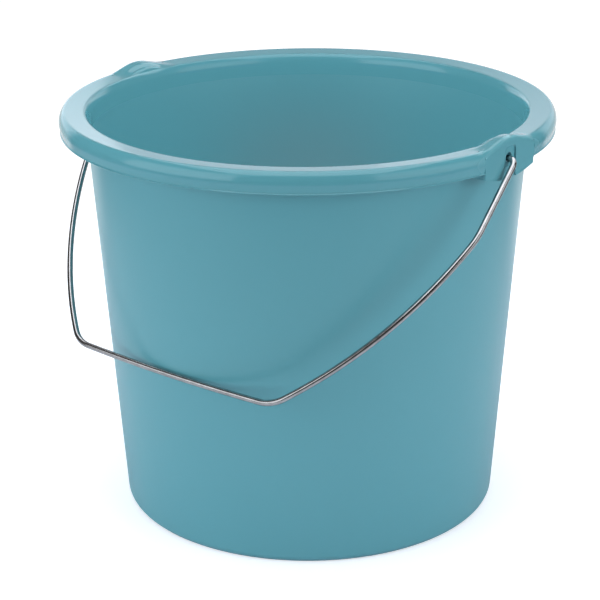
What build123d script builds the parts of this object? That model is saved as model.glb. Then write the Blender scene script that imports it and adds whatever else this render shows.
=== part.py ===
from build123d import *
import os
from math import asin, atan, cos, degrees, radians, sin, tan

# A round plastic household bucket of about ten litres with a swinging wire handle.
# All sizes are in millimetres and degrees. The bucket stands on z = 0, centred on the Z axis.
# The handle pivots about a line along X and hangs in front of the wall, towards -Y.

# Rim: the wall turns outwards and down again into a skirt that is open from below
rim_radius = 142.3
rim_height = 238.2
rim_overhang = 15.15  # from the outside of the straight wall out to the skirt
rim_fall = 1.05  # how far the top of the rim falls towards the mouth
rim_wall = 1.9
skirt_depth = 11.4  # from the top of the rim to the lower edge of the skirt
skirt_taper = 0.6  # how far the skirt leans in towards its lower edge
skirt_bevel = 0.8
shoulder_bevel = 3.4  # the sloping shoulder between the top of the rim and the skirt
shoulder_rounding = 8.0
crown_rounding = 1.8
mouth_rounding = 1.3
mouth_flare = 1.65  # how far the wall leans out further just under the rim
flare_depth = 3.8  # from the top of the rim to where that begins
flare_rounding = 9.0

# Wall and base of the bucket
wall_draft = 4.07  # lean of the wall away from upright
wall = 1.8
base_thickness = 2.2
base_rounding = 5.6  # outside, where the wall turns under into the foot
floor_bevel = 3.0  # inside, between the wall and the floor
foot_width = 13.0  # from the outside of the wall in to the inner edge of the foot ring
panel_lift = 3.0  # height of the base panel above the foot ring
panel_slope = 3.0  # run of the sloping step between the foot ring and the base panel

# Ears: a flat-fronted hollow block in the rim on each side, which carries the handle
ear_width = 45.8
ear_inset = 2.5  # how far the flat front is cut back into the rim
ear_drop = 18.8  # lowest point of the ear below the top of the rim
ear_side_rise = 3.7  # how far the lower edge curves up at the sides
ear_peak = 5.9  # where the two ramps of the hump would meet, above the top of the rim
ear_crown = 35.0  # radius that rounds the top of the hump
ear_foot = 2.0  # from the side of the ear in to the foot of the ramp
ear_sink = 1.2  # depth of the foot of the ramp in the rim
ear_foot_rounding = 8.0
ear_rounding = 3.2
ear_wall = 1.9
ear_plate = 2.4  # thickness of the flat front
ear_slope = 48.0  # lean of the hump's inner side above the level
ear_slope_drop = 5.2  # below the top of the rim, where that side starts inside the wall
channel_width = 10.6  # upright recess in the front, in which the wire runs
channel_depth = 1.0
channel_drop = 1.2  # top of the recess below the top of the rim
channel_rounding = 3.0

# Handle: one bent wire
wire_diameter = 3.5
pivot_drop = 8.2  # pivot line below the top of the rim
hole_diameter = 5.4
hole_clearance = 0.4  # gap under the wire where it hangs in its hole
leg_gap = 1.95  # between each leg and the flat front of its ear
leg_length = 44.6  # straight leg, from the pivot line
pin_bend = 4.5
hook_depth = 7.6  # from the flat front in to the retaining hook
hook_bend = 3.4
hook_tip = 2.0
shoulder_bend = 38.5
shoulder_turn = 15.2
side_bend = 243.5
side_turn = 30.0
corner_bend = 20.8
grip_turn = 2.2  # half of the slight bow of the hand grip
rest_gap = 0.3  # between the hanging grip and the wall

base_radius = rim_radius - rim_overhang - rim_height * tan(radians(wall_draft))
flare_low = rim_height - flare_depth


def wall_outside(height):
    """Radius of the wall's outer face at a height above the floor."""
    flare = mouth_flare * max(height - flare_low, 0) / (flare_depth - rim_fall)
    return base_radius + height * tan(radians(wall_draft)) + flare


def wall_inside(height):
    """Radius of the wall's inner face at a height above the floor."""
    return wall_outside(height) - wall / cos(radians(wall_draft))


def wall_middle(height):
    """Radius halfway through the wall at a height above the floor."""
    return (wall_outside(height) + wall_inside(height)) / 2


# Section of the moulding, drawn as radius and height
skirt_low = rim_height - skirt_depth
skirt_radius = rim_radius - rim_wall
lip_radius = rim_radius - skirt_taper
rim_under = rim_height - rim_wall
mouth_height = rim_height - rim_fall
crown_edge = (rim_radius - shoulder_bevel, rim_height)
shoulder_edge = (rim_radius, rim_height - shoulder_bevel)
mouth_edge = (wall_inside(mouth_height), mouth_height)
flare_edge = (wall_inside(flare_low), flare_low)
under_bevel = shoulder_bevel - rim_wall * tan(radians(22.5))
foot_edge = (base_radius, 0)
foot_radius = base_radius - foot_width
panel_radius = foot_radius - panel_slope
panel_top = panel_lift + base_thickness
bevel_top = base_thickness + floor_bevel

with BuildPart() as moulding:
    with BuildSketch(Plane.XZ) as section:
        with BuildLine():
            Polyline(
                (0, panel_lift),
                (panel_radius, panel_lift),
                (foot_radius, 0),
                foot_edge,
                (wall_outside(flare_low), flare_low),
                (wall_outside(rim_under), rim_under),
                (skirt_radius - under_bevel, rim_under),
                (skirt_radius, rim_under - under_bevel),
                (lip_radius - rim_wall, skirt_low),
                (lip_radius - skirt_bevel, skirt_low),
                (lip_radius, skirt_low + skirt_bevel),
                shoulder_edge,
                crown_edge,
                mouth_edge,
                flare_edge,
                (wall_inside(bevel_top), bevel_top),
                (wall_inside(base_thickness) - floor_bevel, base_thickness),
                (foot_radius, base_thickness),
                (panel_radius, panel_top),
                (0, panel_top),
                close=True,
            )
        make_face()
        for point, radius in (
            (foot_edge, base_rounding),
            (shoulder_edge, shoulder_rounding),
            (crown_edge, crown_rounding),
            (mouth_edge, mouth_rounding),
            (flare_edge, flare_rounding),
        ):
            fillet(section.vertices().sort_by_distance(point)[0], radius)
    revolve(axis=Axis.Z)

# One ear: a block with a roof-shaped top and a curved bottom, which ends inside the wall
ear_half = ear_width / 2
ear_face = rim_radius - ear_inset
ear_low = rim_height - ear_drop
side_low = ear_low + ear_side_rise
ramp_foot = ear_half - ear_foot
ramp_low = rim_height - ear_sink
ramp_angle = atan((ear_peak + ear_sink) / ramp_foot)
ear_height = rim_height + ear_peak - ear_crown * (1 / cos(ramp_angle) - 1)
ear_root = wall_inside(ear_low) * cos(asin(ear_half / wall_inside(ear_low)))
slope_start = rim_height - ear_slope_drop
slope_top = rim_height + ear_peak
slope_run = (slope_top - slope_start) / tan(radians(ear_slope))

with BuildPart() as ear:
    with BuildSketch(Plane.YZ.offset(ear_root)) as ear_outline:
        with BuildLine():
            ThreePointArc((-ear_half, side_low), (0, ear_low), (ear_half, side_low))
            Polyline(
                (ear_half, side_low),
                (ear_half, ramp_low),
                (ramp_foot, ramp_low),
                (0, rim_height + ear_peak),
                (-ramp_foot, ramp_low),
                (-ear_half, ramp_low),
                (-ear_half, side_low),
            )
        make_face()
        for point, radius in (
            ((0, rim_height + ear_peak), ear_crown),
            ((ramp_foot, ramp_low), ear_foot_rounding),
            ((-ramp_foot, ramp_low), ear_foot_rounding),
        ):
            fillet(ear_outline.vertices().sort_by_distance(point)[0], radius)
    extrude(amount=ear_face - ear_root)
    fillet(ear.faces().sort_by(Axis.X)[-1].edges().sort_by(Axis.Z)[-7:], ear_rounding)
    with BuildSketch(Plane.XZ):
        with BuildLine():
            Polyline(
                (0, 0),
                (wall_middle(0), 0),
                (wall_middle(slope_start), slope_start),
                (wall_middle(slope_start) + slope_run, slope_top),
                (0, slope_top),
                close=True,
            )
        make_face()
    revolve(axis=Axis.Z, mode=Mode.SUBTRACT)

# The hollow of one ear, open from below and trimmed by the outside of the wall
hollow_half = ear_half - ear_wall
hollow_low = ear_low - ear_wall
hollow_crown = ear_height - ear_wall
hollow_slope_start = slope_start - wall * (1 - sin(radians(ear_slope)) / 2) / cos(radians(ear_slope))
hollow_run = (slope_top - hollow_slope_start) / tan(radians(ear_slope))

with BuildPart() as ear_hollow:
    with BuildSketch(Plane.YZ.offset(ear_root)):
        with BuildLine():
            Polyline(
                (0, hollow_crown),
                (-hollow_half, rim_under),
                (-hollow_half, hollow_low),
                (hollow_half, hollow_low),
                (hollow_half, rim_under),
                close=True,
            )
        make_face()
    extrude(amount=ear_face - ear_plate - ear_root)
    with BuildSketch(Plane.XZ):
        with BuildLine():
            Polyline(
                (0, 0),
                (wall_outside(0), 0),
                (wall_outside(hollow_slope_start), hollow_slope_start),
                (wall_outside(hollow_slope_start) + hollow_run, slope_top),
                (0, slope_top),
                close=True,
            )
        make_face()
    revolve(axis=Axis.Z, mode=Mode.SUBTRACT)

# What is cut from the front of one ear: the rim in front of the flat, the channel and the hole
pivot_height = rim_height - pivot_drop
channel_top = rim_height - channel_drop
hole_height = pivot_height + (hole_diameter - wire_diameter) / 2 - hole_clearance

with BuildPart() as ear_cuts:
    with BuildSketch(Plane.YZ.offset(ear_face)):
        with Locations((0, ear_low)):
            Rectangle(ear_width, slope_top - ear_low, align=(Align.CENTER, Align.MIN))
    extrude(amount=2 * ear_inset)
    with BuildSketch(Plane.YZ.offset(ear_face - channel_depth)):
        with Locations((0, channel_top)):
            channel = Rectangle(
                channel_width, channel_top - hollow_low, align=(Align.CENTER, Align.MAX)
            )
        fillet(channel.vertices().group_by(Axis.Y)[-1], channel_rounding)
    extrude(amount=channel_depth)
    with BuildSketch(Plane.YZ.offset(ear_face - 2 * ear_plate)):
        with Locations((0, hole_height)):
            Circle(hole_diameter / 2)
    extrude(amount=2 * ear_plate)

with BuildPart() as bucket_body:
    add(moulding.part)
    add(ear.part)
    add(mirror(ear.part, about=Plane.YZ, mode=Mode.PRIVATE))
    for cut in (ear_hollow.part, ear_cuts.part):
        add(cut, mode=Mode.SUBTRACT)
        add(mirror(cut, about=Plane.YZ, mode=Mode.PRIVATE), mode=Mode.SUBTRACT)

# The handle's line in its own plane: x along the pivot line, y away from the hand grip
wire_radius = wire_diameter / 2
leg_offset = ear_face + leg_gap + wire_radius
hook_offset = ear_face - hook_depth
corner_turn = 90 - shoulder_turn - side_turn - grip_turn

with BuildLine() as half_line:
    tip = Line((hook_offset, hook_bend + hook_tip), (hook_offset, hook_bend))
    hook = JernArc(tip @ 1, tip % 1, hook_bend, 90)
    pin = Line(hook @ 1, (leg_offset - pin_bend, 0))
    elbow = JernArc(pin @ 1, pin % 1, pin_bend, -90)
    leg = Line(elbow @ 1, (leg_offset, -leg_length))
    shoulder = JernArc(leg @ 1, leg % 1, shoulder_bend, -shoulder_turn)
    side = JernArc(shoulder @ 1, shoulder % 1, side_bend, -side_turn)
    corner = JernArc(side @ 1, side % 1, corner_bend, -corner_turn)
    grip_bend = (corner @ 1).X / sin(radians(grip_turn))
    grip = JernArc(corner @ 1, corner % 1, grip_bend, -grip_turn)

# That plane leans forwards until the hand grip hangs against the wall
grip_reach = -(grip @ 1).Y
stand_off = wall_outside(pivot_height) * cos(radians(wall_draft)) + wire_radius + rest_gap
rest_angle = degrees(asin(stand_off / grip_reach)) - wall_draft
handle_plane = Plane(
    origin=(0, 0, pivot_height),
    x_dir=(1, 0, 0),
    z_dir=(0, -cos(radians(rest_angle)), sin(radians(rest_angle))),
)
half_wire = handle_plane * half_line.wire()

with BuildPart() as wire_handle:
    with BuildLine() as handle_line:
        add(half_wire)
        mirror(half_wire, about=Plane.YZ)
    with BuildSketch(Plane(handle_line.wire() @ 0, z_dir=handle_line.wire() % 0)):
        Circle(wire_radius)
    sweep(path=handle_line.wire())

os.makedirs("parts", exist_ok=True)
for piece, name in ((bucket_body, "bucket_body"), (wire_handle, "wire_handle")):
    piece.part.label = name
    export_step(piece.part, f"parts/{name}.step")
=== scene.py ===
import math
import bmesh
import bpy
from mathutils import Matrix, Vector


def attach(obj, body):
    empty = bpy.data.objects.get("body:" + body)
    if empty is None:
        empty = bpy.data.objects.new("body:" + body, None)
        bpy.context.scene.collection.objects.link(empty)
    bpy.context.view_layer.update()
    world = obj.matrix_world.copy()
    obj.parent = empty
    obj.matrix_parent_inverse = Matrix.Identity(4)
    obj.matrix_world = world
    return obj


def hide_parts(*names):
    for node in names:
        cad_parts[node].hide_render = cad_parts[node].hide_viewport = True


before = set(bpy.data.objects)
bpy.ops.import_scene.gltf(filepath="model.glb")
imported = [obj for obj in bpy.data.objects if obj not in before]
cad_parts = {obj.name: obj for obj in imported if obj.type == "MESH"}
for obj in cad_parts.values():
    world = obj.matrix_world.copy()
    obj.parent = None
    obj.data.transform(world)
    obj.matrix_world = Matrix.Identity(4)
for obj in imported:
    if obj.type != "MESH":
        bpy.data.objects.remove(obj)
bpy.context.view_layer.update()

# Bucket: one injection moulding in dusty turquoise polypropylene with a satin gloss.
# The wall turns outwards into a hollow rim that is open from below, and swells on two sides into
# the ears that carry the handle. The section is drawn in millimetres and turned about the axis.
wall_lean = math.tan(math.radians(4.07))
wall = 1.8
foot_radius = 110.2
foot_inside = 97.2
base_top = 2.2
panel_radius = 94.2
panel_top = 5.2
panel_under = 3.0
plain_wall = 214.0
flare_foot = 227.0
flare_low = 234.4
mouth_radius = 126.95
mouth_height = 237.15
rim_radius = 142.5
rim_height = 238.2
rim_shoulder = 234.8
crown_radius = 138.9
under_rim = 236.3
roof_rounding = 3.0
skirt_low = 226.2
skirt_inside = 139.4
skirt_draft = 0.4
lip_radius = 141.1
lip_rounding = 0.8
bead = 0.42
bead_top = 0.8


def wall_outside(height):
    return foot_radius + height * wall_lean


def wall_inside(height):
    return wall_outside(height) - wall * math.hypot(1, wall_lean)


# each corner of the section: radius, height, rounding, steps of that rounding, and the cuts in
# the straight run that follows it
section = (
    (0.0, panel_top, 0, 0, 5),
    (panel_radius, panel_top, 2.0, 3, 0),
    (foot_inside, base_top, 2.0, 3, 1),
    (wall_inside(base_top), base_top, 4.0, 6, 14),
    (wall_inside(flare_foot), flare_foot, 0, 0, 4),
    (wall_inside(flare_low), flare_low, 9.0, 6, 0),
    (mouth_radius, mouth_height, 1.3, 7, 8),
    (crown_radius, rim_height, 1.8, 6, 0),
    (rim_radius, rim_shoulder, 7.2, 12, 26),
    (lip_radius, skirt_low + bead_top, 0.25, 2, 0),
    (lip_radius + bead, skirt_low + bead_top - bead, 0.2, 2, 0),
    (lip_radius + bead, skirt_low, 0.28, 3, 0),
    (skirt_inside, skirt_low, lip_rounding, 4, 24),
    (skirt_inside + skirt_draft, under_rim, roof_rounding, 5, 8),
    (mouth_radius + 1.3, under_rim, 1.2, 3, 0),
    (wall_outside(flare_low), flare_low, 4.0, 3, 3),
    (wall_outside(flare_foot), flare_foot, 0, 0, 4),
    (wall_outside(plain_wall), plain_wall, 0, 0, 14),
    (foot_radius, 0.0, 5.6, 9, 1),
    (foot_inside, 0.0, 1.5, 3, 0),
    (panel_radius, panel_under, 1.5, 3, 5),
    (0.0, panel_under, 0, 0, 0),
)
shell = bmesh.new()
row_of = shell.verts.layers.int.new("row")
column_of = shell.verts.layers.int.new("column")
points = [Vector((radius, 0, height)) for radius, height, *_ in section]
corners = [shell.verts.new(point) for point in points]
for a, b in zip(corners, corners[1:]):
    shell.edges.new((a, b))
for k in range(1, len(section) - 1):
    rounding, steps = section[k][2:4]
    if rounding:
        turn = (points[k] - points[k - 1]).angle(points[k + 1] - points[k])
        bmesh.ops.bevel(
            shell, geom=[corners[k]], offset=rounding * math.tan(turn / 2), offset_type="OFFSET",
            segments=steps, profile=0.5, affect="VERTICES", material=-1,
        )


def off_line(point, a, b):
    return (b - a).normalized().cross(point - a).length


for a, b, corner in zip(points, points[1:], section):
    if corner[4]:
        along = [e for e in shell.edges if max(off_line(v.co, a, b) for v in e.verts) < 0.001]
        run = max(along, key=lambda e: e.calc_length())
        bmesh.ops.subdivide_edges(shell, edges=[run], cuts=corner[4])

# number the rows of the section from the middle of the floor round to the middle of the underside
rows = []
panel_middle = (panel_top + panel_under) / 2
vert, came = next(v for v in shell.verts if v.co.x < 1e-6 and v.co.z > panel_middle), None
while vert:
    vert[row_of] = len(rows)
    rows.append((vert.co.x, vert.co.z))
    onward = [e for e in vert.link_edges if e is not came]
    came = onward[0] if onward else None
    vert = came.other_vert(vert) if came else None


def row_at(radius, height):
    return min(range(len(rows)), key=lambda k: math.dist(rows[k], (radius, height)))


# half the bucket is spun with the ear in the middle, in columns that stand close where the ear
# bends; each run of columns has its reach across from the middle and their number
ear_half = 22.9
ear_beside = 22.92
ear_fade = 38.7
web_inside = 21.0
channel_half = 5.3
hole_radius = 2.7
hole_cells = 6
ear_columns = [0.0]
for reach, count in (
    (hole_radius, hole_cells), (channel_half - 0.4, 4), (channel_half + 0.4, 8), (20.4, 16),
    (web_inside - 0.01, 2), (web_inside + 0.01, 1), (21.9, 2), (ear_half, 7), (ear_beside, 1),
    (23.4, 1), (25.0, 2), (28.0, 3), (ear_fade, 6),
):
    start = ear_columns[-1]
    ear_columns += [start + (reach - start) * (n + 1) / count for n in range(count)]
ear_sector = 16.0
ear_steps = len(ear_columns) - 1
plain_steps = 37
column_step = math.radians(ear_sector) / ear_steps
quarter_back = Matrix.Rotation(-math.pi / 2, 3, "Z")
bmesh.ops.rotate(shell, verts=shell.verts[:], cent=(0, 0, 0), matrix=quarter_back)
edge = shell.verts[:] + shell.edges[:]
plain_sector = 90 - ear_sector
for sweep, steps in (
    (plain_sector, plain_steps), (2 * ear_sector, 2 * ear_steps), (plain_sector, plain_steps),
):
    spun = bmesh.ops.spin(
        shell, geom=edge, cent=(0, 0, 0), axis=(0, 0, 1), angle=math.radians(sweep), steps=steps,
    )
    edge = spun["geom_last"]

# the ear: flat front, hump, curved lower edge, channel for the wire, hollow behind the front
ear_face = 139.8
ear_low = 219.4
ear_side_rise = 3.7
ear_rise = 4.05
ear_reach = 24.0
ear_rounding = 3.2
crown_steps = 6
crown_blend = 129.0
hump_start, hump_full = 126.5, 133.5
hump_inside = 232.5
hump_under = 228.0
side_rounding = 0.9
side_blend = 15.0
plate_inside = 137.4
web_rows = 0.8
bead_start = bead_top + 0.1
bead_share = 0.12
bead_fade = (8.0, 19.0)
channel_depth = 1.0
channel_top = 237.0
channel_rounding = 3.0
channel_edge = 0.1
hole_height = 230.55
hole_edge = 0.25
hole_spread = 5.2
hole_band = [hole_height + hole_radius * (1 - n / hole_cells) for n in range(2 * hole_cells + 1)]
hole_rows = len(hole_band)
rows_under_hole = 13
rows_over_hole = 7
# the rows of the section at which the ear's forms begin and end
mouth_row = row_at(wall_inside(hump_inside), hump_inside)
crown_row = row_at(crown_radius - 0.75, rim_height)
lip_row = row_at(lip_radius, skirt_low + bead_start)
lip_inside_row = row_at(skirt_inside, skirt_low + lip_rounding)
under_row = row_at(skirt_inside + skirt_draft, under_rim - roof_rounding)
roof_row = row_at(skirt_inside + skirt_draft - roof_rounding, under_rim)
root_row = row_at(mouth_radius + wall + 1.2, under_rim)
below_row = row_at(wall_outside(plain_wall), plain_wall)


def ease(low, high, value):
    t = min(max((value - low) / (high - low), 0.0), 1.0)
    return t * t * (3 - 2 * t)


def mix(a, b, t):
    return a + (b - a) * t


def swell(across):
    return ear_rise * math.cos(math.pi / 2 * min(abs(across) / ear_reach, 1)) ** 2


def swell_share(radius):
    return ease(hump_start, hump_full, radius)


def rim_reach(height):
    for (r0, z0), (r1, z1) in zip(rows[crown_row:lip_row], rows[crown_row + 1:lip_row + 1]):
        if z1 <= height <= z0:
            return mix(r0, r1, (z0 - height) / (z0 - z1))
    return 0.0


def low_edge(across):
    bow = (ear_half ** 2 + ear_side_rise ** 2) / (2 * ear_side_rise)
    return ear_low + bow - math.sqrt(bow ** 2 - across ** 2)


def channel(across, height):
    side, top = abs(across) - channel_half, height - channel_top
    if top > -channel_rounding:
        over_side, over_top = max(side + channel_rounding, 0), top + channel_rounding
        out = math.hypot(over_side, over_top) - channel_rounding
    else:
        out = side
    return channel_depth * (1 - ease(-channel_edge, channel_edge, out))


def face_reach(across, height):
    round_in = max(abs(across) - (ear_half - side_rounding), 0) if height < skirt_low else 0
    reach = ear_face - side_rounding + math.sqrt(side_rounding ** 2 - round_in ** 2)
    ring = rim_reach(height)
    if ring > abs(across) and round_in:
        reach = max(reach, min(math.sqrt(ring ** 2 - across ** 2), ear_face))
    return reach - channel(across, height)


def round_hole(across, height):
    up = height - hole_height
    size, far = max(abs(across), abs(up)), math.hypot(across, up)
    if size < hole_spread and far:
        share = 1 - ease(hole_radius, hole_spread, size)
        grow = mix(1, size / far, share)
        return across * grow, hole_height + up * grow
    return across, height


def ear_place(row, across):
    """Where a point of the section goes in the column that stands this far across the ear."""
    radius, height = rows[row]
    ring = math.sqrt(radius ** 2 - across ** 2)
    top = rim_height + swell(across)
    low = low_edge(across)
    in_web = abs(across) > web_inside
    if row < crown_row:
        crown_ring = math.sqrt(rows[crown_row][0] ** 2 - across ** 2)
        crown_ear = face_reach(across, top - ear_rounding) - ear_rounding
        shift = (crown_ear - crown_ring) * ease(crown_blend, rows[crown_row][0], radius)
        return ring + shift, across, height + swell(across) * swell_share(radius)
    if row <= crown_row + crown_steps:
        turn = math.pi / 2 * (row - crown_row) / crown_steps
        start = face_reach(across, top - ear_rounding) - ear_rounding
        reach = start + ear_rounding * math.sin(turn)
        height = top - ear_rounding * (1 - math.cos(turn))
        ring = math.sqrt(max(rim_reach(height - swell(across)), start) ** 2 - across ** 2)
        reach = mix(reach, min(ring, ear_face), ease(side_blend, ear_half, abs(across)))
        return reach, across, height
    if row <= lip_row:
        n = row - crown_row - crown_steps
        above = lip_row - crown_row - crown_steps - hole_rows - rows_under_hole
        if n <= above:
            height = mix(top - ear_rounding, hole_band[0], n / (above + 1))
        elif n <= above + hole_rows:
            height = hole_band[n - above - 1]
        else:
            share = (n - above - hole_rows) / rows_under_hole
            height = mix(hole_band[-1], low + bead_start, share)
        across, height = round_hole(across, height)
        return face_reach(across, height), across, height
    if row < lip_inside_row:
        share = (radius - skirt_inside) / (lip_radius - skirt_inside)
        share = min(share, 1 + bead_share * (1 - ease(*bead_fade, abs(across))))
        lip = max(height - skirt_low, 0)
        if in_web and share < 0.5:
            lip = 0
        return mix(plate_inside, face_reach(across, low + lip), share), across, low + lip
    if in_web:
        share = (row - lip_inside_row) / (below_row - lip_inside_row)
        if share < web_rows:
            root = math.sqrt(wall_outside(low) ** 2 - across ** 2)
            return mix(plate_inside, root, share / web_rows), across, low
        height = mix(low, plain_wall, (share - web_rows) / (1 - web_rows))
        return math.sqrt(wall_outside(height) ** 2 - across ** 2), across, height
    if row <= under_row:
        n = row - lip_inside_row
        below = under_row - lip_inside_row - hole_rows + 1 - rows_over_hole
        if n < below:
            height = mix(low + lip_rounding, hole_band[-1], n / below)
        elif n < below + hole_rows:
            height = hole_band[hole_rows - 1 - n + below]
        else:
            share = (n - below - hole_rows + 1) / rows_over_hole
            height = mix(hole_band[0], rows[under_row][1] + swell(across), share)
        across, height = round_hole(across, height)
        return plate_inside, across, height
    if row <= roof_row:
        return plate_inside + radius - skirt_inside, across, height + swell(across)
    if row <= root_row:
        share = (rows[roof_row][0] - radius) / (rows[roof_row][0] - rows[root_row][0])
        root = math.sqrt(rows[root_row][0] ** 2 - across ** 2)
        reach = mix(plate_inside - roof_rounding, root, share)
        lift = mix(1.0, swell_share(rows[root_row][0] + wall), share)
        return reach, across, height + swell(across) * lift
    lift = swell_share(rows[root_row][0] + wall) * ease(hump_under, under_rim, height)
    return ring, across, height + swell(across) * lift


straighten_from = 150.0
off_ear = 999
for vert in shell.verts:
    turn = math.atan2(vert.co.y, vert.co.x)
    column = round(turn / column_step)
    vert[column_of] = off_ear
    if abs(column) >= len(ear_columns) or vert.co.xy.length < 1e-6:
        continue
    vert[column_of] = column
    across = math.copysign(ear_columns[abs(column)], column)
    radius, height = rows[vert[row_of]]
    straight = ease(straighten_from, plain_wall, height)
    straight *= 1 - ease(ear_beside, ear_fade, abs(across))
    turn = math.asin(across / ear_face)
    if straight:
        turn = mix(turn, math.asin(across / radius), straight)
    vert.co = (radius * math.cos(turn), radius * math.sin(turn), height)
    if abs(across) <= ear_half and mouth_row <= vert[row_of] < below_row:
        vert.co = ear_place(vert[row_of], across)

# the hole for the wire goes through the flat front
last_face_row = lip_row - rows_under_hole
last_plate_row = under_row - rows_over_hole
hole_runs = (
    range(last_face_row - hole_rows + 1, last_face_row + 1),
    range(last_plate_row - hole_rows + 1, last_plate_row + 1),
)


def in_hole_columns(verts):
    return all(abs(v[column_of]) <= hole_cells for v in verts)


openings = [
    f for f in shell.faces
    if in_hole_columns(f.verts)
    and any(all(v[row_of] in run for v in f.verts) for run in hole_runs)
]
bmesh.ops.delete(shell, geom=openings, context="FACES")
lips = [e for e in shell.edges if e.is_boundary and in_hole_columns(e.verts)]
bmesh.ops.bridge_loops(shell, edges=lips)
bmesh.ops.bevel(
    shell, geom=lips, offset=hole_edge, offset_type="OFFSET", segments=2, profile=0.5,
    affect="EDGES", material=-1,
)
half = shell.verts[:] + shell.edges[:] + shell.faces[:]
bmesh.ops.mirror(shell, geom=half, axis="X", merge_dist=0.001)
bmesh.ops.remove_doubles(shell, verts=shell.verts[:], dist=0.001)
bmesh.ops.recalc_face_normals(shell, faces=shell.faces[:])
bmesh.ops.scale(shell, vec=(0.001, 0.001, 0.001), verts=shell.verts[:])
bucket_mesh = bpy.data.meshes.new("bucket_shell")
shell.to_mesh(bucket_mesh)
shell.free()
bucket_mesh.shade_smooth()
bucket_mesh.set_sharp_from_angle(angle=math.radians(34))
bucket = bpy.data.objects.new("bucket_shell", bucket_mesh)
bpy.context.scene.collection.objects.link(bucket)


def new_material(name):
    material = bpy.data.materials.new(name)
    material.use_nodes = True
    nodes = material.node_tree.nodes
    return material, nodes, material.node_tree.links, nodes["Principled BSDF"]


def smooth_step(nodes, links, value, start, end, low, high):
    step = nodes.new("ShaderNodeMapRange")
    step.interpolation_type = "SMOOTHSTEP"
    step.inputs["From Min"].default_value = start
    step.inputs["From Max"].default_value = end
    step.inputs["To Min"].default_value = low
    step.inputs["To Max"].default_value = high
    links.new(value, step.inputs["Value"])
    return step.outputs["Result"]


def reckon(nodes, links, operation, *values):
    node = nodes.new("ShaderNodeMath")
    node.operation = operation
    for value, socket in zip(values, node.inputs):
        links.new(value, socket)
    return node.outputs["Value"]


# the rim is polished, the wall and the flat fronts of the ears are satin
wall_roughness = 0.3
rim_roughness = 0.11
roughness_play = 0.02
polish_from, polish_full = 0.2235, 0.2262
ear_front_from, ear_front_full = 0.1372, 0.1396
turquoise, nodes, links, plastic = new_material("satin_turquoise_plastic")
place = nodes.new("ShaderNodeTexCoord")
flow = nodes.new("ShaderNodeTexNoise")
flow.inputs["Scale"].default_value = 6
flow.inputs["Detail"].default_value = 1
links.new(place.outputs["Object"], flow.inputs["Vector"])
tone = nodes.new("ShaderNodeValToRGB")
tone.color_ramp.elements[0].position = 0.3
tone.color_ramp.elements[0].color = (0.08, 0.266, 0.316, 1)
tone.color_ramp.elements[1].position = 0.7
tone.color_ramp.elements[1].color = (0.084, 0.278, 0.33, 1)
links.new(flow.outputs["Fac"], tone.inputs["Fac"])
links.new(tone.outputs["Color"], plastic.inputs["Base Color"])
sheen = nodes.new("ShaderNodeTexNoise")
sheen.inputs["Scale"].default_value = 9
sheen.inputs["Detail"].default_value = 1
links.new(place.outputs["Object"], sheen.inputs["Vector"])
spot = nodes.new("ShaderNodeSeparateXYZ")
links.new(place.outputs["Object"], spot.inputs["Vector"])
on_rim = smooth_step(nodes, links, spot.outputs["Z"], polish_from, polish_full, 0, 1)
to_ear = reckon(nodes, links, "ABSOLUTE", spot.outputs["X"])
off_ear_front = smooth_step(nodes, links, to_ear, ear_front_from, ear_front_full, 1, 0)
polish = reckon(nodes, links, "MULTIPLY", on_rim, off_ear_front)
satin = smooth_step(nodes, links, polish, 0, 1, wall_roughness, rim_roughness)
play = smooth_step(nodes, links, sheen.outputs["Fac"], 0, 1, -roughness_play, roughness_play)
links.new(reckon(nodes, links, "ADD", satin, play), plastic.inputs["Roughness"])
plastic.inputs["IOR"].default_value = 1.5
bucket_mesh.materials.append(turquoise)
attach(bucket, "bucket")
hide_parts("bucket_body")

# Handle: one length of bright drawn steel wire, bent cold. It starts in the hook inside one ear,
# leaves through the hole, hangs down in the channel and runs round to a straight hand grip.
wire_radius = 1.75
tip_rounding = 0.4
pivot_height = 230.0
rest_lean = 44.581
hook_tip = Vector((132.2, 5.4, 0))
hook_length = 2.0
hook_bend = 3.4
pin_length = 3.4
pin_bend = 4.5
leg_length = 40.1
leg_bend, leg_turn = 38.5, 15.2
side_bend, side_turn = 243.5, 30
grip_bend, grip_turn = 20.8, 42.6
grip_bow = 2.2
wire = bmesh.new()
ring = bmesh.ops.create_circle(wire, cap_ends=True, segments=20, radius=wire_radius)["verts"]
bmesh.ops.rotate(wire, verts=ring, cent=(0, 0, 0), matrix=Matrix.Rotation(math.pi / 2, 3, "X"))
bmesh.ops.translate(wire, verts=ring, vec=hook_tip)
end = wire.edges[:]
at, heading = hook_tip, Vector((0, -1, 0))


def straight_run(length):
    global end, at
    grown = bmesh.ops.extrude_edge_only(wire, edges=end)["geom"]
    ring = [v for v in grown if isinstance(v, bmesh.types.BMVert)]
    bmesh.ops.translate(wire, verts=ring, vec=heading * length)
    end = [e for e in grown if isinstance(e, bmesh.types.BMEdge) and set(e.verts) <= set(ring)]
    at = at + heading * length


def bend(radius, turn, steps):
    global end, at, heading
    left = Vector((-heading.y, heading.x, 0))
    centre = at + left * math.copysign(radius, turn)
    spun = bmesh.ops.spin(
        wire, geom=end, cent=centre, axis=(0, 0, 1), angle=math.radians(turn), steps=steps,
    )
    end = [e for e in spun["geom_last"] if isinstance(e, bmesh.types.BMEdge)]
    swing = Matrix.Rotation(math.radians(turn), 3, "Z")
    at = centre + swing @ (at - centre)
    heading = swing @ heading


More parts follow.
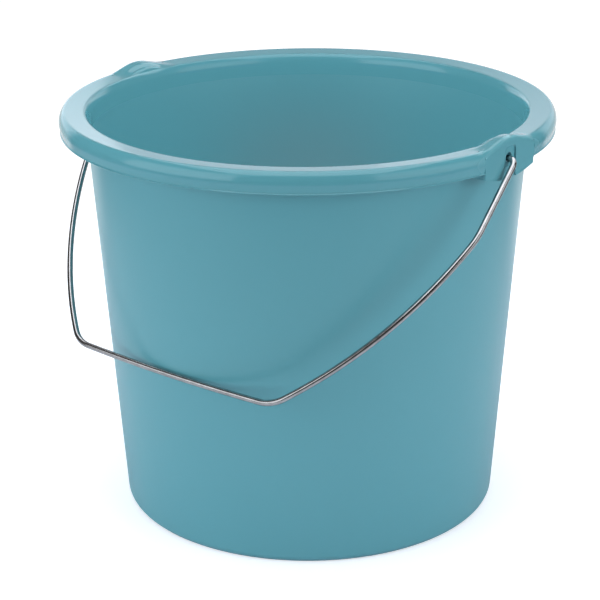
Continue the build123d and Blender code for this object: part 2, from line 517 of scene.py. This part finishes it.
# from the hook by way of the pin, the leg and the bowed side to the middle of the grip
straight_run(hook_length)
bend(hook_bend, 90, 10)
straight_run(pin_length)
bend(pin_bend, -90, 12)
straight_run(leg_length)
bend(leg_bend, -leg_turn, 8)
bend(side_bend, -side_turn, 30)
bend(grip_bend, -grip_turn, 16)
bend(at.x / math.sin(math.radians(grip_bow)), -grip_bow, 6)
half = wire.verts[:] + wire.edges[:] + wire.faces[:]
bmesh.ops.mirror(wire, geom=half, axis="X", merge_dist=0.01)
bmesh.ops.remove_doubles(wire, verts=wire.verts[:], dist=0.001)
tips = [e for f in wire.faces if len(f.verts) > 4 for e in f.edges]
bmesh.ops.bevel(
    wire, geom=tips, offset=tip_rounding, offset_type="OFFSET", segments=3, profile=0.5,
    affect="EDGES", material=-1,
)
bmesh.ops.recalc_face_normals(wire, faces=wire.faces[:])
bmesh.ops.rotate(
    wire, verts=wire.verts[:], cent=(0, 0, 0),
    matrix=Matrix.Rotation(math.radians(90 - rest_lean), 3, "X"),
)
bmesh.ops.translate(wire, verts=wire.verts[:], vec=(0, 0, pivot_height))
bmesh.ops.scale(wire, vec=(0.001, 0.001, 0.001), verts=wire.verts[:])
handle_mesh = bpy.data.meshes.new("handle_wire")
wire.to_mesh(handle_mesh)
wire.free()
handle_mesh.shade_smooth()
handle_mesh.set_sharp_from_angle(angle=math.radians(40))
handle = bpy.data.objects.new("handle_wire", handle_mesh)
bpy.context.scene.collection.objects.link(handle)

bright_steel, nodes, links, steel = new_material("bright_drawn_steel")
place = nodes.new("ShaderNodeTexCoord")
mottle = nodes.new("ShaderNodeTexNoise")
mottle.inputs["Scale"].default_value = 220
mottle.inputs["Detail"].default_value = 4
links.new(place.outputs["Object"], mottle.inputs["Vector"])
tone = nodes.new("ShaderNodeValToRGB")
tone.color_ramp.elements[0].position = 0.3
tone.color_ramp.elements[0].color = (0.36, 0.342, 0.337, 1)
tone.color_ramp.elements[1].position = 0.7
tone.color_ramp.elements[1].color = (0.48, 0.458, 0.45, 1)
links.new(mottle.outputs["Fac"], tone.inputs["Fac"])
links.new(tone.outputs["Color"], steel.inputs["Base Color"])
drawn = nodes.new("ShaderNodeMapRange")
drawn.inputs["To Min"].default_value = 0.12
drawn.inputs["To Max"].default_value = 0.2
links.new(mottle.outputs["Fac"], drawn.inputs["Value"])
links.new(drawn.outputs["Result"], steel.inputs["Roughness"])
steel.inputs["Metallic"].default_value = 1
handle_mesh.materials.append(bright_steel)
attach(handle, "handle")
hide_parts("wire_handle")

# Floor: a plain sheet of white paper that the bucket stands on, its colour painted greyer further
# out as painted shade where the light falls away.
# To the camera it is white apart from the bucket's soft shadow close to the foot. In the gloss
# only the part behind the bucket is bright.
near_edge, far_edge = 0.4, 0.8
shadow_white = 0.55
back_direction = (-0.64, 0.77, 0)
ground = bmesh.new()
bmesh.ops.create_grid(ground, x_segments=1, y_segments=1, size=6.0)
floor_mesh = bpy.data.meshes.new("floor")
ground.to_mesh(floor_mesh)
ground.free()
floor = bpy.data.objects.new("floor", floor_mesh)
bpy.context.scene.collection.objects.link(floor)
white, nodes, links, paint = new_material("white_sweep")
paint.inputs["Roughness"].default_value = 0.9
paint.inputs["Specular IOR Level"].default_value = 0.1
paint.inputs["Emission Color"].default_value = (1, 1, 1, 1)
rays = nodes.new("ShaderNodeLightPath")
place = nodes.new("ShaderNodeTexCoord")
away = nodes.new("ShaderNodeVectorMath")
away.operation = "LENGTH"
links.new(place.outputs["Object"], away.inputs[0])


def toward_back(nodes, links, where):
    behind = nodes.new("ShaderNodeVectorMath")
    behind.operation = "DOT_PRODUCT"
    behind.inputs[1].default_value = back_direction
    links.new(where, behind.inputs[0])
    return behind.outputs["Value"]


def white_backdrop(nodes, links, rays, straight, back):
    """How white it is: straight for the camera, and back for mirrored and transmitted rays."""
    glossy, through = rays.outputs["Is Glossy Ray"], rays.outputs["Is Transmission Ray"]
    mirrored = reckon(nodes, links, "MAXIMUM", glossy, through)
    mirrored = reckon(nodes, links, "MULTIPLY", mirrored, back)
    return reckon(nodes, links, "MAXIMUM", straight, mirrored)


# painted shade in the paper's colour: pale and a little blue near the bucket for a bluish painted
# reflection in the gloss, dark grey further out where the light falls away
tone = nodes.new("ShaderNodeValToRGB")
tone.color_ramp.elements[0].color = (0.15, 0.15, 0.15, 1)
tone.color_ramp.elements[1].color = (0.68, 0.72, 0.8, 1)
painted_falloff = smooth_step(nodes, links, away.outputs["Value"], near_edge, far_edge, 1, 0)
links.new(painted_falloff, tone.inputs["Fac"])
links.new(tone.outputs["Color"], paint.inputs["Base Color"])
outward = nodes.new("ShaderNodeVectorMath")
outward.operation = "NORMALIZE"
links.new(place.outputs["Object"], outward.inputs[0])
sector = toward_back(nodes, links, outward.outputs["Vector"])
sector = smooth_step(nodes, links, sector, 0.62, 0.72, 0, 0.75)
far = toward_back(nodes, links, place.outputs["Object"])
far = smooth_step(nodes, links, far, 0.25, 0.5, 0, 1)
behind = reckon(nodes, links, "MULTIPLY", sector, far)
whiteness = smooth_step(nodes, links, away.outputs["Value"], near_edge, far_edge, shadow_white, 1)
straight = reckon(nodes, links, "MULTIPLY", rays.outputs["Is Camera Ray"], whiteness)
glow = white_backdrop(nodes, links, rays, straight, behind)
links.new(glow, paint.inputs["Emission Strength"])
floor_mesh.materials.append(white)

# Studio: white paper behind the bucket and a dim room elsewhere. Soft boxes overhead and all
# round light it evenly and don't show in the gloss. Pale cards show in the gloss alone.
world = bpy.data.worlds.new("studio")
bpy.context.scene.world = world
world.use_nodes = True
nodes, links = world.node_tree.nodes, world.node_tree.links
nodes.clear()
out = nodes.new("ShaderNodeOutputWorld")
place = nodes.new("ShaderNodeTexCoord")
rays = nodes.new("ShaderNodeLightPath")
look = nodes.new("ShaderNodeSeparateXYZ")
links.new(place.outputs["Generated"], look.inputs["Vector"])
room = nodes.new("ShaderNodeBackground")
room.inputs["Color"].default_value = (1, 1, 1, 1)
bounce = nodes.new("ShaderNodeMapRange")
bounce.inputs["To Min"].default_value = 0.09
bounce.inputs["To Max"].default_value = 0.3
links.new(rays.outputs["Is Diffuse Ray"], bounce.inputs["Value"])
links.new(bounce.outputs["Result"], room.inputs["Strength"])
backdrop = nodes.new("ShaderNodeBackground")
paper = nodes.new("ShaderNodeValToRGB")
paper.color_ramp.elements[0].color = (0.9, 0.94, 1.03, 1)
paper.color_ramp.elements[1].color = (1, 1, 1, 1)
links.new(rays.outputs["Is Camera Ray"], paper.inputs["Fac"])
links.new(paper.outputs["Color"], backdrop.inputs["Color"])
around = nodes.new("ShaderNodeMixShader")
behind = toward_back(nodes, links, place.outputs["Generated"])
behind = smooth_step(nodes, links, behind, 0.64, 0.72, 0, 1)
low = smooth_step(nodes, links, look.outputs["Z"], 0.26, 0.46, 1, 0.35)
behind = reckon(nodes, links, "MULTIPLY", behind, low)
papered = white_backdrop(nodes, links, rays, rays.outputs["Is Camera Ray"], behind)
links.new(papered, around.inputs["Fac"])
links.new(room.outputs["Background"], around.inputs[1])
links.new(backdrop.outputs["Background"], around.inputs[2])
links.new(around.outputs["Shader"], out.inputs["Surface"])


def bright_panel(name, place, turn, tilt, width, height, level, color):
    """A panel whose face stands across the direction turn and leans down by tilt."""
    lamp = bpy.data.lights.new(name, "AREA")
    lamp.shape = "RECTANGLE"
    lamp.size, lamp.size_y = width, height
    lamp.energy = level * math.pi * width * height
    lamp.color = color
    panel = bpy.data.objects.new(name, lamp)
    panel.location = place
    panel.rotation_euler = (math.radians(90 - tilt), 0, math.radians(turn))
    panel.visible_camera = False
    bpy.context.scene.collection.objects.link(panel)
    return panel


# for each card and box: place, turn, tilt, width, height and the level of its face
card_color = (0.86, 0.93, 1.0)
for name, *sizes in (
    ("card_back_left", (-1.564, 0.581, 0.55), 220, 0, 1.25, 0.78, 0.6),
    ("card_back_mid", (-1.29, 0.798, 0.55), 220, 0, 0.55, 0.7, 0.32),
    ("card_back_low", (-0.292, 1.648, 0.465), 220, 0, 1.5, 0.61, 0.25),
    ("card_back_right", (0.16, 1.14, 1.19), 172, 0, 1.6, 0.6, 2.8),
    ("card_top", (0.1, -0.119, 1.24), 40, 90, 1.5, 1.81, 2.5),
    ("card_left", (-0.406, -1.176, 0.58), -14.25, 0, 1.25, 0.95, 1.6),
    ("card_right", (1.241, 0.079, 0.58), 89.25, 0, 1.15, 0.95, 1.1),
):
    bright_panel(name, *sizes, card_color).visible_diffuse = False
box_color = (0.95, 0.985, 1.0)
for name, *sizes in (
    ("soft_box_top", (0, 0, 1.3), 0, 90, 0.8, 0.8, 4.6),
    ("soft_box_left", (-0.45, -1.3, 0.4), -14.25, 0, 1.25, 0.8, 4.4),
    ("soft_box_right", (1.37, 0.087, 0.4), 89.25, 0, 1.25, 0.8, 4.1),
    ("soft_box_side_left", (-1.06, -0.759, 0.4), -50, 0, 0.8, 0.8, 1.8),
    ("soft_box_side_right", (0.931, 0.913, 0.4), 130, 0, 0.8, 0.8, 1.4),
    ("soft_box_behind", (-0.9, 1.07, 0.4), 220, 0, 1.25, 0.8, 3.0),
):
    bright_panel(name, *sizes, box_color).visible_glossy = False
# a weak lamp lifts the shade inside the bucket
fill = bpy.data.lights.new("fill_inside", "POINT")
fill.shadow_soft_size = 0.05
fill.energy = 0.34
fill_lamp = bpy.data.objects.new("fill_inside", fill)
fill_lamp.location = (0, 0, 0.14)
fill_lamp.visible_camera = False
fill_lamp.visible_glossy = False
bpy.context.scene.collection.objects.link(fill_lamp)

# Camera: a long lens that looks down on the bucket from in front, a little above the rim.
# It stands forty degrees round towards the right-hand ear.
target = Vector((-0.00388, -0.00325, 0.11751))
stand = Vector((0.68664, -0.82614, 0.51593))
round_to_ear = math.radians(40)
roll = math.radians(-0.429)
ahead = (target - stand).normalized()
level = Vector((math.cos(round_to_ear), math.sin(round_to_ear), 0))
upright = level.cross(ahead)
right = level * math.cos(roll) + upright * math.sin(roll)
up = upright * math.cos(roll) - level * math.sin(roll)
lens = bpy.data.cameras.new("camera")
lens.sensor_width = 36
lens.lens = 115.632
lens.clip_start = 0.05
lens.clip_end = 50
camera = bpy.data.objects.new("camera", lens)
camera.matrix_world = Matrix((
    (right.x, up.x, -ahead.x, stand.x),
    (right.y, up.y, -ahead.y, stand.y),
    (right.z, up.z, -ahead.z, stand.z),
    (0, 0, 0, 1),
))
bpy.context.scene.collection.objects.link(camera)
bpy.context.scene.camera = camera
bpy.context.scene.view_settings.view_transform = "Standard"
